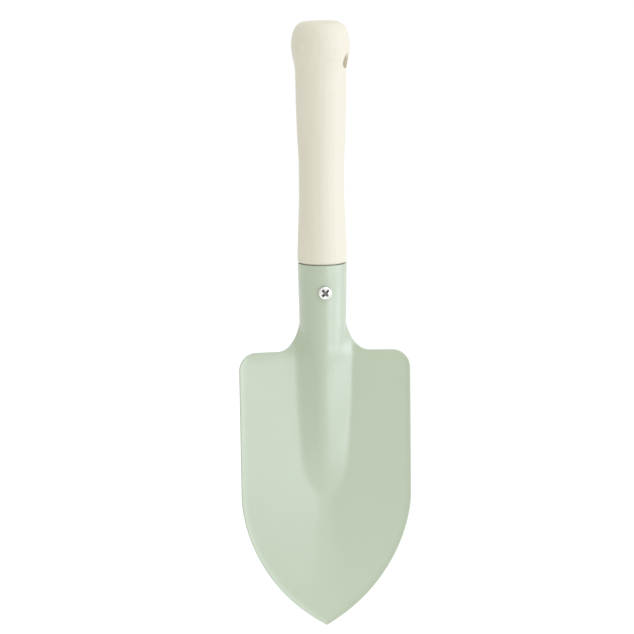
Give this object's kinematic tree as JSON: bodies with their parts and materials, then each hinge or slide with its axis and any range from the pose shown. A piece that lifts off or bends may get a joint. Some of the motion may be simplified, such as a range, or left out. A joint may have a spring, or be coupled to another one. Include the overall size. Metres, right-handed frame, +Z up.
{
  "type": "hand trowel",
  "caption": "Hand trowel: pressed-steel blade with a stiffening rib and rolled socket, screwed to a turned wooden handle with a knob and hanging hole.",
  "frame": {"origin": "centre of the hanging hole, on the axis of the handle", "axes": "+Z up the handle towards its knob, -Y the front: the hollow side of the blade and the screw, X across the blade"},
  "size_m": [0.0794, 0.0268, 0.28],
  "materials": {
    "sage_coating": "pale sage-green satin powder coat",
    "pale_wood": "pale cream close-grained wood under a satin clear coat",
    "bright_steel": "bright zinc or nickel plate"
  },
  "bodies": {
    "root": {"blade_with_socket": "sage_coating", "handle": "pale_wood", "socket_screw": "bright_steel"}
  },
  "joints": []
}
